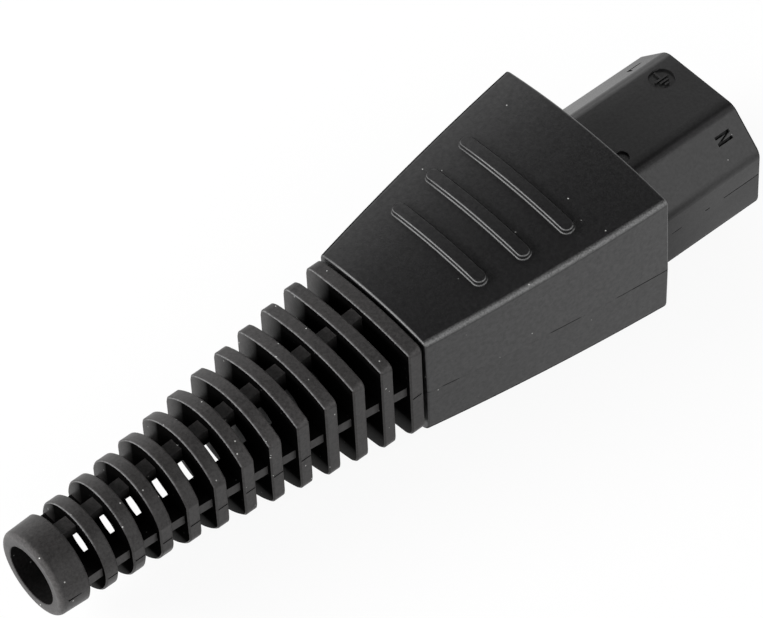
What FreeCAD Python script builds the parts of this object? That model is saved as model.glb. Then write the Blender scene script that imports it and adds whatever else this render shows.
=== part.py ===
import FreeCAD, Part
import math
import os

os.makedirs("parts", exist_ok=True)

V = FreeCAD.Vector

# Frame: millimetres, X along the connector with the nose at +X, Z up.
# X = 0 is the body's front face, Y = Z = 0 is the middle of the nose.

# Fits
FIT = 0.10
SCREW_FIT = 0.02
PIN_FIT_T = 0.1
PIN_FIT_H = 0.2
JOINT_GAP = 0.08

# How far a cut passes the face it opens, and how deep a rib is rooted in its wall
OVER = 1.0
ROOT = 0.5

# Nose
NOSE_W = 24.0
NOSE_H = 16.0
NOSE_CHAMFER = 5.4
NOSE_L = 20.7
NOSE_TOP_R = 1.3
NOSE_BOTTOM_R = 1.8
NOSE_TIP_R = 0.35

# Body
BODY_L = 37.6
BODY_W_FRONT = 32.5
BODY_W_REAR = 21.4
BODY_BOW = 0.45
BODY_BOTTOM = -10.0
TOP_EDGE_FRONT = 12.0
TOP_EDGE_REAR = 8.15
CROWN_FRONT = 1.4
CROWN_REAR = 0.9
PARTING_Z = -1.35
DRAFT = math.radians(1.2)
WALL = 2.0
TOP_EDGE_R = 0.9
BOTTOM_EDGE_R = 1.7
END_EDGE_R = 0.3
TONGUE_T = 0.9
TONGUE_H = 1.2

# Grip bars
GRIP_X = -12.5
GRIP_PITCH = 6.75
GRIP_LENGTHS = (21.6, 19.7, 17.8)
GRIP_W = 2.0
GRIP_H = 0.7
GRIP_EDGE_R = 0.2
GRIP_FOOT_R = 0.2

# Cord and sleeve
CORD_Z = -0.4
RING_BORE_R = 4.35
RIB_BORE_R = 4.1
RIB_COUNT = 12
RIB_PITCH = 4.32
RIB_T = 2.0
RIB_EDGE = 0.22
BASE_RIB_T = 2.2
BASE_GAP = 0.45
RIB_R_SMALL = 6.65
RIB_HALF_W = 10.5
RIB_HALF_H = 9.35
RIB_CORNER_R = 1.9
WIDTH_POWER = 1.5
HEIGHT_POWER = 0.6
CROWN_POWER = 1.4
BRIDGE_W = 2.1
BRIDGE_RECESS = 1.25
SIDE_BRIDGE_W = 1.6
SIDE_BRIDGE_RECESS = 0.75
SIDE_BRIDGE_RISE = 0.5
RING_L = 4.6
RING_R_INNER_END = 6.45
RING_R_OUTER_END = 6.3
RING_RIM_R = 0.8
RING_MOUTH_R = 0.12
NECK_HALF_W = 7.0
NECK_HALF_H = 6.0
NECK_R = 2.5
COLLAR_T = 2.3
COLLAR_RISE = 1.4

# Contacts and terminals
POLE_SPAN = 14.0
EARTH_OFFSET = 4.0
PIN_T = 2.0
PIN_H = 4.0
CONTACT_WALL = 0.6
CONTACT_L = 14.0
CONTACT_SEAM = 0.5
FINGER_SLIT = 0.5
FINGER_L = 8.4
EARTH_DROP = 0.6
NOSE_FACE_T = 2.5
SLOT_FIT = 0.6
SLOT_LEAD = 0.4
FLANGE_T = 2.5
FLANGE_R = 1.0
STOP_T = 1.2
STOP_LAP = 1.6
COLLAR_LAP = 0.8
SHELF_L = 13.0
BARRIER_T = 1.2
CAGE_L = 8.0
CAGE_W = 6.2
CAGE_WALL = 1.4
CAGE_EDGE = 0.4
CAGE_WINDOW_H = 4.5
CAGE_ROOF = 2.8
CAGE_SETBACK = 2.2
CAGE_SIDE_SHIFT = 1.2

# Screws
SCREW_R = 1.5
HEAD_R = 2.3
HEAD_H = 1.8
SCREW_EDGE = 0.4
TIP_ROOM = 0.5
HEAD_SLOT_W = 0.8
HEAD_SLOT_D = 0.9
TERMINAL_SHANK = 5.2
CLAMP_SHANK = 7.0
HOUSING_SHANK = 12.0
HOUSING_X = -21.5
HOUSING_Y = 8.5
HOUSING_BOSS_R = 2.7
HOUSING_FOOT_R = 3.5
HEAD_POCKET = 3.0
CLAMP_R = 3.7
CLAMP_X = -28.5
CLAMP_Y = 7.3
CLAMP_BOSS_R = 2.2
CLAMP_W = 6.0
CLAMP_HALF_L = 9.5
CLAMP_LUG_T = 3.0
CLAMP_ARCH_T = 1.6
CLAMP_SEAT = 1.0
CLAMP_CORNER_R = 1.5
SADDLE_T = 3.0

FLOOR_Z = BODY_BOTTOM + WALL
REAR_X = -BODY_L
TAN_DRAFT = math.tan(DRAFT)
REACH = BODY_L + BODY_W_FRONT
TOUCH = 1e-4


def box(x0, x1, y0, y1, z0, z1):
    return Part.makeBox(x1 - x0, y1 - y0, z1 - z0, V(x0, y0, z0))


def post(x, y, z0, z1, r):
    return Part.makeCylinder(r, z1 - z0, V(x, y, z0))


def line(p, q):
    return Part.makeLine(p, q)


def arc(p, q, r):
    return Part.Arc(p, q, r).toShape()


def save(shape, name):
    shape.exportStep("parts/" + name + ".step")


def edges_where(shape, test):
    return [e for e in shape.Edges if test(e)]


def in_plane_x(edge, x):
    b = edge.BoundBox
    return abs(b.XMin - x) < TOUCH and abs(b.XMax - x) < TOUCH


def in_plane_z(edge, z):
    b = edge.BoundBox
    return abs(b.ZMin - z) < TOUCH and abs(b.ZMax - z) < TOUCH


# Body form: one section law gives the outside, the cavity, the tongue and the grips


def along(front, rear, x):
    return front + (rear - front) * x / REAR_X


def half_width(x):
    t = x / REAR_X
    return along(BODY_W_FRONT, BODY_W_REAR, x) / 2 + 4 * BODY_BOW * t * (1 - t)


def top_edge(x):
    return along(TOP_EDGE_FRONT, TOP_EDGE_REAR, x)


def body_section(x, inset, floor, roof):
    w = half_width(x) - inset
    z0 = BODY_BOTTOM + floor
    z1 = top_edge(x) - roof
    w0 = w - (PARTING_Z - z0) * TAN_DRAFT
    w1 = w - (z1 - PARTING_Z) * TAN_DRAFT
    apex = V(x, 0, z1 + along(CROWN_FRONT, CROWN_REAR, x))
    left = [V(x, w0, z0), V(x, w, PARTING_Z), V(x, w1, z1)]
    right = [V(x, -w1, z1), V(x, -w, PARTING_Z), V(x, -w0, z0)]
    edges = [
        line(left[0], left[1]),
        line(left[1], left[2]),
        arc(left[2], apex, right[0]),
        line(right[0], right[1]),
        line(right[1], right[2]),
        line(right[2], left[0]),
    ]
    return Part.Wire(edges)


def body_loft(inset, floor, roof):
    stations = (-inset, REAR_X / 2, REAR_X + inset)
    sections = [body_section(x, inset, floor, roof) for x in stations]
    return Part.makeLoft(sections, True, False)


def half_space(z0, z1):
    return box(REAR_X - REACH, REACH, -REACH, REACH, z0, z1)


def lengthwise(edge):
    return edge.BoundBox.XLength > BODY_L / 2


def body_outside():
    solid = body_loft(0, -OVER, 0).common(half_space(BODY_BOTTOM, REACH))
    upper = edges_where(solid, lambda e: lengthwise(e) and e.BoundBox.ZMin > PARTING_Z + OVER)
    solid = solid.makeFillet(TOP_EDGE_R, upper)
    lower = edges_where(solid, lambda e: lengthwise(e) and in_plane_z(e, BODY_BOTTOM))
    solid = solid.makeFillet(BOTTOM_EDGE_R, lower)
    ends = edges_where(solid, lambda e: in_plane_x(e, 0) or in_plane_x(e, REAR_X))
    return solid.makeFillet(END_EDGE_R, ends)


# Nose outline, grown by a clearance for the opening that takes it


def nose_wire(x, grow):
    w = NOSE_W / 2 + grow
    h = NOSE_H / 2 + grow
    c = NOSE_CHAMFER + grow * (2 - math.sqrt(2))
    pts = [
        V(x, -w, -h),
        V(x, w, -h),
        V(x, w, h - c),
        V(x, w - c, h),
        V(x, -(w - c), h),
        V(x, -w, h - c),
    ]
    return Part.makePolygon(pts + [pts[0]])


def nose_prism(x0, x1, grow):
    solid = Part.Face(nose_wire(x0, grow)).extrude(V(x1 - x0, 0, 0))
    long_edges = [e for e in solid.Edges if e.BoundBox.XLength > OVER]
    upper = [e for e in long_edges if e.CenterOfMass.z > 0]
    solid = solid.makeFillet(NOSE_TOP_R, upper)
    long_edges = [e for e in solid.Edges if e.BoundBox.XLength > OVER]
    lower = [e for e in long_edges if e.CenterOfMass.z < -NOSE_H / 4]
    return solid.makeFillet(NOSE_BOTTOM_R, lower)


# Sleeve sections: flat sides grow out of a circle while the arch between them flattens


def cord_section(x, a, b, crown, rc):
    if crown > a - TOUCH:
        ring = Part.Circle(V(x, 0, CORD_Z), V(1, 0, 0), a)
        return Part.Wire([ring.toShape()])
    if crown > TOUCH:
        big = (a * a + crown * crown) / (2 * crown)
        cz = b - big + math.sqrt((big - rc) ** 2 - (a - rc) ** 2)
        k = big / (big - rc)
        ty = (a - rc) * k
        tz = (b - big) + (cz - b + big) * k
    else:
        cz = b - rc
        ty = a - rc
        tz = b
    turn = math.atan2(tz - cz, ty - (a - rc)) / 2
    my = a - rc + rc * math.cos(turn)
    mz = cz + rc * math.sin(turn)

    def p(y, z):
        return V(x, y, CORD_Z + z)

    edges = []
    for s in (1, -1):
        edges.append(line(p(s * a, -s * cz), p(s * a, s * cz)))
        edges.append(arc(p(s * a, s * cz), p(s * my, s * mz), p(s * ty, s * tz)))
        if crown > TOUCH:
            edges.append(arc(p(s * ty, s * tz), p(0, s * b), p(-s * ty, s * tz)))
        else:
            edges.append(line(p(s * ty, s * tz), p(-s * ty, s * tz)))
        edges.append(arc(p(-s * ty, s * tz), p(-s * my, s * mz), p(-s * a, s * cz)))
    return Part.Wire(edges)


BASE_FRONT = REAR_X - BASE_GAP
BASE_CENTRE = BASE_FRONT - BASE_RIB_T + RIB_T / 2
FIRST_CENTRE = BASE_CENTRE - RIB_PITCH * (RIB_COUNT - 1)
RING_FRONT = FIRST_CENTRE - RIB_PITCH + RIB_T / 2
RING_END = RING_FRONT - RING_L


RIB_CENTRES = [FIRST_CENTRE + RIB_PITCH * i for i in range(RIB_COUNT)]
BRIDGE_START = RING_FRONT - ROOT


def flare(x):
    return max(0, (x - FIRST_CENTRE) / (BASE_CENTRE - FIRST_CENTRE))


def rib_half_width(x):
    return RIB_R_SMALL + (RIB_HALF_W - RIB_R_SMALL) * flare(x) ** WIDTH_POWER


def rib_half_height(x):
    return RIB_R_SMALL + (RIB_HALF_H - RIB_R_SMALL) * flare(x) ** HEIGHT_POWER


def rib(centre, t):
    a = rib_half_width(centre)
    b = rib_half_height(centre)
    crown = CROWN_REAR + (RIB_R_SMALL - CROWN_REAR) * max(0, 1 - flare(centre)) ** CROWN_POWER
    x0 = centre - RIB_T / 2
    solid = Part.Face(cord_section(x0, a, b, crown, RIB_CORNER_R)).extrude(V(t, 0, 0))
    rims = edges_where(solid, lambda e: in_plane_x(e, x0) or in_plane_x(e, x0 + t))
    return solid.makeChamfer(RIB_EDGE, rims)


def end_ring():
    def p(x, r):
        return V(x, 0, CORD_Z + r)

    s = math.sqrt(0.5)
    rim = RING_RIM_R
    mouth = RING_MOUTH_R
    r0 = RING_R_OUTER_END
    rim_x = RING_END + rim
    edges = [
        line(p(RING_FRONT, RING_BORE_R), p(RING_FRONT, RING_R_INNER_END - RIB_EDGE)),
        line(
            p(RING_FRONT, RING_R_INNER_END - RIB_EDGE),
            p(RING_FRONT - RIB_EDGE, RING_R_INNER_END),
        ),
        line(p(RING_FRONT - RIB_EDGE, RING_R_INNER_END), p(rim_x, r0)),
        arc(p(rim_x, r0), p(rim_x - rim * s, r0 - rim + rim * s), p(RING_END, r0 - rim)),
        line(p(RING_END, r0 - rim), p(RING_END, RING_BORE_R + mouth)),
        arc(
            p(RING_END, RING_BORE_R + mouth),
            p(RING_END + mouth - mouth * s, RING_BORE_R + mouth - mouth * s),
            p(RING_END + mouth, RING_BORE_R),
        ),
        line(p(RING_END + mouth, RING_BORE_R), p(RING_FRONT, RING_BORE_R)),
    ]
    face = Part.Face(Part.Wire(edges))
    return face.revolve(V(0, 0, CORD_Z), V(1, 0, 0), 360)


# Bridges: straight above and below, following the ribs' width at the sides


def bridge(outline, w, turn, rise):
    y = -w / 2
    inner = RIB_BORE_R - OVER
    pts = [V(BRIDGE_START, y, inner)]
    pts += [V(x, y, r) for x, r in outline]
    pts.append(V(BASE_CENTRE, y, inner))
    bar = Part.Face(Part.makePolygon(pts + [pts[0]])).extrude(V(0, w, 0))
    bar.rotate(V(0, 0, 0), V(1, 0, 0), turn)
    bar.translate(V(0, 0, CORD_Z + rise))
    return bar


def bridges():
    low = RIB_R_SMALL - BRIDGE_RECESS
    high = RIB_HALF_H - BRIDGE_RECESS
    upper = [(BRIDGE_START, low), (FIRST_CENTRE, low), (BASE_CENTRE, high)]
    side = [(x, rib_half_width(x) - SIDE_BRIDGE_RECESS) for x in [BRIDGE_START] + RIB_CENTRES]
    bars = [bridge(upper, BRIDGE_W, turn, 0) for turn in (0, 180)]
    return bars + [bridge(side, SIDE_BRIDGE_W, turn, SIDE_BRIDGE_RISE) for turn in (90, 270)]


COLLAR_BACK = REAR_X + WALL + FIT
COLLAR_FRONT = COLLAR_BACK + COLLAR_T


def cord_cylinder(x0, x1, r):
    return Part.makeCylinder(r, x1 - x0, V(x0, 0, CORD_Z), V(1, 0, 0))


def strain_relief_sleeve():
    neck_wire = cord_section(BASE_CENTRE, NECK_HALF_W, NECK_HALF_H, 0, NECK_R)
    neck = Part.Face(neck_wire).extrude(V(COLLAR_FRONT - BASE_CENTRE, 0, 0))
    collar_wire = cord_section(
        COLLAR_BACK, NECK_HALF_W + COLLAR_RISE, NECK_HALF_H + COLLAR_RISE / 2, 0, NECK_R
    )
    collar = Part.Face(collar_wire).extrude(V(COLLAR_T, 0, 0))
    pieces = [rib(x, RIB_T) for x in RIB_CENTRES[:-1]]
    pieces.append(rib(BASE_CENTRE, BASE_RIB_T))
    pieces += bridges() + [neck, collar]
    solid = end_ring().multiFuse(pieces)
    solid = solid.cut(cord_cylinder(RING_FRONT, COLLAR_FRONT + OVER, RIB_BORE_R))
    solid = solid.cut(cord_cylinder(RING_FRONT - OVER, RING_FRONT + OVER, RING_BORE_R))
    return solid.removeSplitter()


# Contacts, cages and the carrier that holds them

LIVE_Z = -EARTH_OFFSET / 2
EARTH_Z = EARTH_OFFSET / 2
POLE_Y = POLE_SPAN / 2
TUBE_W = PIN_T + PIN_FIT_T + 2 * CONTACT_WALL
TUBE_H = PIN_H + PIN_FIT_H + 2 * CONTACT_WALL
TUBE_FRONT = NOSE_L - NOSE_FACE_T - FIT
TUBE_BACK = TUBE_FRONT - CONTACT_L
FLANGE_FRONT = -WALL - FIT
FLANGE_BACK = FLANGE_FRONT - FLANGE_T
CAGE_FRONT = FLANGE_BACK - CAGE_SETBACK
CAGE_BACK = CAGE_FRONT - CAGE_L
CAGE_X = (CAGE_FRONT + CAGE_BACK) / 2
TAIL_Z = LIVE_Z - TUBE_H / 2
SHELF_Z = TAIL_Z - CAGE_WALL
CAGE_TOP = TAIL_Z + CAGE_WINDOW_H + CAGE_ROOF
CAGE_Y = POLE_Y + CAGE_SIDE_SHIFT


def socket(y, z):
    w = TUBE_W / 2
    h = TUBE_H / 2
    t = CONTACT_WALL
    front = TUBE_FRONT + OVER
    back = TUBE_BACK - OVER
    tube = box(TUBE_BACK, TUBE_FRONT, y - w, y + w, z - h, z + h)
    hollow = box(back, front, y - w + t, y + w - t, z - h + t, z + h - t)
    half_seam = CONTACT_SEAM / 2
    seam = box(back, front, y - half_seam, y + half_seam, z, z + h + OVER)
    half_slit = FINGER_SLIT / 2
    slit_y = w + OVER
    slit = box(TUBE_FRONT - FINGER_L, front, y - slit_y, y + slit_y, z - half_slit, z + half_slit)
    return tube.cut(hollow).cut(seam).cut(slit)


def live_contact(side):
    y = side * POLE_Y
    w = TUBE_W / 2
    t = CONTACT_WALL
    tail = box(CAGE_FRONT, TUBE_BACK + ROOT, y - w, y + w, TAIL_Z, TAIL_Z + t)
    foot_y = side * CAGE_Y
    foot = box(CAGE_BACK, CAGE_FRONT, foot_y - w, foot_y + w, TAIL_Z, TAIL_Z + t)
    near, far = sorted((y, foot_y))
    lane = box(CAGE_FRONT, FLANGE_BACK, near - w, far + w, TAIL_Z, TAIL_Z + t)
    return socket(y, LIVE_Z).multiFuse([tail, lane, foot]).removeSplitter()


def earth_contact():
    w = TUBE_W / 2
    t = CONTACT_WALL
    z = EARTH_Z - TUBE_H / 2
    drop_x = FLANGE_BACK - EARTH_DROP
    upper = box(drop_x - t, TUBE_BACK + ROOT, -w, w, z, z + t)
    drop = box(drop_x - t, drop_x, -w, w, TAIL_Z, z + t)
    foot = box(CAGE_BACK, drop_x, -w, w, TAIL_Z, TAIL_Z + t)
    return socket(0, EARTH_Z).multiFuse([upper, drop, foot]).removeSplitter()


def terminal(y):
    w = CAGE_W / 2
    cage = box(CAGE_BACK, CAGE_FRONT, y - w, y + w, SHELF_Z, CAGE_TOP)
    side = TUBE_W / 2 + FIT
    roof = TAIL_Z + CAGE_WINDOW_H
    window = box(CAGE_BACK - OVER, CAGE_FRONT + OVER, y - side, y + side, TAIL_Z, roof)
    upright = edges_where(cage, lambda e: e.BoundBox.ZLength > OVER)
    cage = cage.makeChamfer(CAGE_EDGE, upright)
    hole = post(CAGE_X, y, roof - OVER, CAGE_TOP + OVER, SCREW_R + SCREW_FIT)
    return cage.cut(window).cut(hole)


def pocket(y, z):
    w = TUBE_W / 2 + FIT
    h = TUBE_H / 2
    face = NOSE_L - NOSE_FACE_T
    room = box(FLANGE_BACK - OVER, face, y - w, y + w, z - h, z + h + FIT)
    sw = (PIN_T + SLOT_FIT) / 2
    sh = (PIN_H + SLOT_FIT) / 2
    slot = box(face - OVER, NOSE_L + OVER, y - sw, y + sw, z - sh, z + sh)

    def mouth(x, grow):
        corners = ((-1, -1), (1, -1), (1, 1), (-1, 1))
        pts = [V(x, y + p * (sw + grow), z + q * (sh + grow)) for p, q in corners]
        return Part.makePolygon(pts + [pts[0]])

    lead = Part.makeLoft([mouth(NOSE_L - SLOT_LEAD, 0), mouth(NOSE_L, SLOT_LEAD)], True, True)
    return room.fuse(slot).fuse(lead)


FLANGE_HALF_W = half_width(FLANGE_BACK) - WALL - 4 * FIT
FLANGE_TOP = top_edge(FLANGE_BACK) - WALL - 2 * FIT


def contact_carrier():
    nose = nose_prism(FLANGE_BACK, NOSE_L, 0)
    tip = edges_where(nose, lambda e: in_plane_x(e, NOSE_L))
    nose = nose.makeFillet(NOSE_TIP_R, tip)
    flange = box(
        FLANGE_BACK, FLANGE_FRONT, -FLANGE_HALF_W, FLANGE_HALF_W, FLOOR_Z + FIT, FLANGE_TOP
    )
    flange = flange.makeFillet(FLANGE_R, edges_where(flange, lambda e: e.BoundBox.XLength > OVER))
    shelf_w = CAGE_Y + CAGE_W / 2
    shelf_end = FLANGE_BACK - SHELF_L
    shelf_front = FLANGE_BACK + ROOT
    shelf = box(shelf_end, shelf_front, -shelf_w, shelf_w, FLOOR_Z + FIT, SHELF_Z)
    wall_top = CAGE_TOP + HEAD_H
    walls = []
    for side in (1, -1):
        y0 = side * CAGE_Y / 2 - BARRIER_T / 2
        walls.append(box(shelf_end, shelf_front, y0, y0 + BARRIER_T, SHELF_Z - ROOT, wall_top))
    solid = nose.multiFuse([flange, shelf] + walls)
    for y, z in ((POLE_Y, LIVE_Z), (-POLE_Y, LIVE_Z), (0, EARTH_Z)):
        solid = solid.cut(pocket(y, z))
    return solid.removeSplitter()


# Screws: slotted cheese heads, the shank along -Z from the seat


def screw(x, y, seat, shank, up):
    tip_z = seat - shank
    top_z = seat + HEAD_H
    body = post(x, y, tip_z, seat + ROOT, SCREW_R)
    body = body.makeChamfer(SCREW_EDGE, edges_where(body, lambda e: in_plane_z(e, tip_z)))
    head = post(x, y, seat, top_z, HEAD_R)
    head = head.makeChamfer(SCREW_EDGE, edges_where(head, lambda e: in_plane_z(e, top_z)))
    reach = HEAD_R + OVER
    half_slot = HEAD_SLOT_W / 2
    slot = box(x - reach, x + reach, y - half_slot, y + half_slot, top_z - HEAD_SLOT_D, top_z + OVER)
    solid = body.fuse(head).cut(slot).removeSplitter()
    if not up:
        solid.rotate(V(x, y, seat), V(1, 0, 0), 180)
    return solid


# Shells

OPENING = nose_prism(-WALL - OVER, OVER, FIT)
JOINT_LOW = PARTING_Z - JOINT_GAP / 2
JOINT_HIGH = PARTING_Z + JOINT_GAP / 2
TONGUE_TOP = JOINT_LOW + TONGUE_H
HOUSING_SEAT = BODY_BOTTOM + HEAD_POCKET
CLAMP_PLANE = CORD_Z - CLAMP_SEAT
LUG_TOP = CLAMP_PLANE + CLAMP_LUG_T


def neck_opening():
    wire = cord_section(REAR_X - OVER, NECK_HALF_W + FIT, NECK_HALF_H + FIT, 0, NECK_R + FIT)
    return Part.Face(wire).extrude(V(WALL + OVER + 2 * FIT, 0, 0))


def stops(z0, z1):
    flange_x = FLANGE_BACK - FIT - STOP_T
    collar_x = COLLAR_FRONT + FIT
    blocks = []
    for side in (1, -1):
        wall_y = side * BODY_W_FRONT / 2
        for x, edge in ((flange_x, FLANGE_HALF_W - STOP_LAP), (collar_x, NECK_HALF_W - COLLAR_LAP)):
            y0, y1 = sorted((side * edge, wall_y))
            blocks.append(box(x, x + STOP_T, y0, y1, z0, z1))
    return blocks


def grips():
    raised = body_loft(0, 0, -GRIP_H)
    bars = []
    for i, length in enumerate(GRIP_LENGTHS):
        x = GRIP_X - GRIP_PITCH * i
        r = GRIP_W / 2
        y = length / 2 - r
        z = TOP_EDGE_REAR - WALL / 2
        edges = [
            line(V(x - r, -y, z), V(x - r, y, z)),
            arc(V(x - r, y, z), V(x, y + r, z), V(x + r, y, z)),
            line(V(x + r, y, z), V(x + r, -y, z)),
            arc(V(x + r, -y, z), V(x, -y - r, z), V(x - r, -y, z)),
        ]
        bar = Part.Face(Part.Wire(edges)).extrude(V(0, 0, TOP_EDGE_FRONT)).common(raised)
        rim = [e for e in bar.Edges if e.BoundBox.ZMin > z + WALL / 2]
        bars.append(bar.makeFillet(GRIP_EDGE_R, rim))
    return bars


CAVITY = body_loft(WALL, WALL, WALL)
OUTSIDE = body_outside()


def upper_shell():
    solid = OUTSIDE.common(half_space(JOINT_HIGH, REACH)).cut(CAVITY)
    rebate = body_loft(WALL - TONGUE_T - FIT, WALL, WALL)
    solid = solid.cut(rebate.common(half_space(-REACH, TONGUE_TOP)))
    inside = [post(HOUSING_X, s * HOUSING_Y, PARTING_Z, REACH, HOUSING_BOSS_R) for s in (1, -1)]
    inside += stops(TONGUE_TOP, REACH)
    liner = body_loft(WALL - ROOT, WALL, WALL - ROOT)
    solid = solid.multiFuse([piece.common(liner) for piece in inside])
    pilot_top = HOUSING_SEAT + HOUSING_SHANK + TIP_ROOM
    for s in (1, -1):
        solid = solid.cut(post(HOUSING_X, s * HOUSING_Y, -REACH, pilot_top, SCREW_R + SCREW_FIT))
    solid = solid.cut(OPENING).cut(neck_opening())
    solid = solid.multiFuse([bar.cut(CAVITY) for bar in grips()]).removeSplitter()
    crowned = max(solid.Faces, key=lambda face: len(face.Wires) * face.CenterOfMass.z)
    rims = [wire for wire in crowned.Wires if not wire.isSame(crowned.OuterWire)]
    return solid.makeFillet(GRIP_FOOT_R, [edge for rim in rims for edge in rim.Edges])


def lower_shell():
    solid = OUTSIDE.common(half_space(-REACH, JOINT_LOW)).cut(CAVITY)
    tongue = body_loft(WALL - TONGUE_T, WALL, WALL).cut(CAVITY)
    tongue = tongue.common(half_space(PARTING_Z - OVER, TONGUE_TOP))
    base = FLOOR_Z - ROOT
    t = SADDLE_T / 2
    inside = [box(CLAMP_X - t, CLAMP_X + t, -CLAMP_Y, CLAMP_Y, base, CLAMP_PLANE)]
    for s in (1, -1):
        inside.append(post(HOUSING_X, s * HOUSING_Y, base, PARTING_Z, HOUSING_FOOT_R))
        inside.append(post(CLAMP_X, s * CLAMP_Y, base, CLAMP_PLANE, CLAMP_BOSS_R))
    inside += stops(base, JOINT_LOW)
    liner = body_loft(WALL - ROOT, WALL - ROOT, WALL)
    solid = solid.multiFuse([tongue] + [piece.common(liner) for piece in inside])
    solid = solid.cut(cord_cylinder(CLAMP_X - t - OVER, CLAMP_X + t + OVER, CLAMP_R))
    pilot_low = LUG_TOP - CLAMP_SHANK - TIP_ROOM
    for s in (1, -1):
        y = s * HOUSING_Y
        solid = solid.cut(post(HOUSING_X, y, -REACH, PARTING_Z + OVER, SCREW_R + 2 * FIT))
        solid = solid.cut(post(HOUSING_X, y, -REACH, HOUSING_SEAT, HEAD_R + 2 * FIT))
        solid = solid.cut(post(CLAMP_X, s * CLAMP_Y, pilot_low, LUG_TOP, SCREW_R + SCREW_FIT))
    return solid.cut(OPENING).cut(neck_opening()).removeSplitter()


def cord_clamp():
    x0 = CLAMP_X - CLAMP_W / 2
    inner = math.sqrt(CLAMP_R**2 - CLAMP_SEAT**2)
    outer_r = CLAMP_R + CLAMP_ARCH_T
    rise = LUG_TOP - CORD_Z
    outer = math.sqrt(outer_r**2 - rise**2)
    end = CLAMP_HALF_L

    def p(y, z):
        return V(x0, y, z)

    edges = [
        line(p(-end, CLAMP_PLANE), p(-inner, CLAMP_PLANE)),
        arc(p(-inner, CLAMP_PLANE), p(0, CORD_Z + CLAMP_R), p(inner, CLAMP_PLANE)),
        line(p(inner, CLAMP_PLANE), p(end, CLAMP_PLANE)),
        line(p(end, CLAMP_PLANE), p(end, LUG_TOP)),
        line(p(end, LUG_TOP), p(outer, LUG_TOP)),
        arc(p(outer, LUG_TOP), p(0, CORD_Z + outer_r), p(-outer, LUG_TOP)),
        line(p(-outer, LUG_TOP), p(-end, LUG_TOP)),
        line(p(-end, LUG_TOP), p(-end, CLAMP_PLANE)),
    ]
    solid = Part.Face(Part.Wire(edges)).extrude(V(CLAMP_W, 0, 0))
    corners = edges_where(solid, lambda e: e.BoundBox.ZLength > OVER and e.BoundBox.YLength < TOUCH)
    corners = [e for e in corners if abs(e.CenterOfMass.y) > end - TOUCH]
    solid = solid.makeFillet(CLAMP_CORNER_R, corners)
    for s in (1, -1):
        solid = solid.cut(post(CLAMP_X, s * CLAMP_Y, -REACH, REACH, SCREW_R + 2 * FIT))
    return solid


save(upper_shell(), "upper_shell")
save(lower_shell(), "lower_shell")
save(contact_carrier(), "contact_carrier")
save(strain_relief_sleeve(), "strain_relief_sleeve")
save(live_contact(1), "line_contact")
save(live_contact(-1), "neutral_contact")
save(earth_contact(), "earth_contact")
save(terminal(CAGE_Y), "line_terminal")
save(terminal(-CAGE_Y), "neutral_terminal")
save(terminal(0), "earth_terminal")
save(
    Part.makeCompound(
        [screw(CAGE_X, y, CAGE_TOP, TERMINAL_SHANK, True) for y in (CAGE_Y, 0, -CAGE_Y)]
    ),
    "terminal_screws",
)
save(cord_clamp(), "cord_clamp")
save(
    Part.makeCompound([screw(CLAMP_X, s * CLAMP_Y, LUG_TOP, CLAMP_SHANK, True) for s in (1, -1)]),
    "cord_clamp_screws",
)
save(
    Part.makeCompound(
        [screw(HOUSING_X, s * HOUSING_Y, HOUSING_SEAT, HOUSING_SHANK, False) for s in (1, -1)]
    ),
    "housing_screws",
)
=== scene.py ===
import math

import bmesh
import bpy
from bpy.props import FloatProperty, FloatVectorProperty, IntProperty, PointerProperty
from mathutils import Matrix, Vector
from mathutils.bvhtree import BVHTree


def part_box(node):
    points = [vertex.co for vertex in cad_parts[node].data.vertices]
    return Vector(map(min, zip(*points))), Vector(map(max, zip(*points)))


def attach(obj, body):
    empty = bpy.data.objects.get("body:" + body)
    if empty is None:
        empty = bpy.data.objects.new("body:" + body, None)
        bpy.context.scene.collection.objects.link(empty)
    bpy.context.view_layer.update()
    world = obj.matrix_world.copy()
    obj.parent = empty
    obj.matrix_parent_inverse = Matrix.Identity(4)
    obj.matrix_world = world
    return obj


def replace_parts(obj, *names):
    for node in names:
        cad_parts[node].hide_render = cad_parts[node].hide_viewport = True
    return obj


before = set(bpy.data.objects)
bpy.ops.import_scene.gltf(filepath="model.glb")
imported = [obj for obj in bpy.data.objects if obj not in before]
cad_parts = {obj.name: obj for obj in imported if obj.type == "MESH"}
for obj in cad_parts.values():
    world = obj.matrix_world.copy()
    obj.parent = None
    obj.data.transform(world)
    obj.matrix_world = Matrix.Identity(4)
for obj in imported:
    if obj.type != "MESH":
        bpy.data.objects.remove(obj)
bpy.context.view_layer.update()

bl_info = {
    "name": "Rewireable cable connector",
    "version": (1, 0, 0),
    "blender": (4, 5, 0),
    "location": "3D View > Sidebar > Connector",
    "description": "Finishes, moulded marks and studio stage for a rewireable cable connector",
    "category": "Object",
}

MM = 0.001
BODY = "root"
SIDES = (1, -1)

SLEEVE_LOW, SLEEVE_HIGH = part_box("strain_relief_sleeve")
_, NOSE_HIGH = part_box("contact_carrier")
SHELL_LOW, SHELL_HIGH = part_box("lower_shell")
CORD_Z = (SLEEVE_LOW.z + SLEEVE_HIGH.z) / 2

# Vertices closer than this are one, and a vertex this close to a surface lies on it
WELD = 0.0005 * MM
TOUCH = 0.02 * MM

# Nose in the solid: its top, its half width, the folds above and below its corner faces, the radii of these
# folds and of its front edges, and the place just inside the body where its visible faces end
NOSE_TOP = 8.0 * MM
NOSE_HALF_W = 12.0 * MM
CORNER_TOP_Y = 6.6 * MM
CORNER_FOOT_Z = 2.6 * MM
FOLD_R = 1.3 * MM
TIP_R = 0.35 * MM
NOSE_ROOT_X = -1.0 * MM

# Round marks on the nose's top, along X and Y in mm
EJECTOR_PLACE = (3.04, -3.45)
EARTH_PLACE = (16.65, 3.34)

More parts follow.
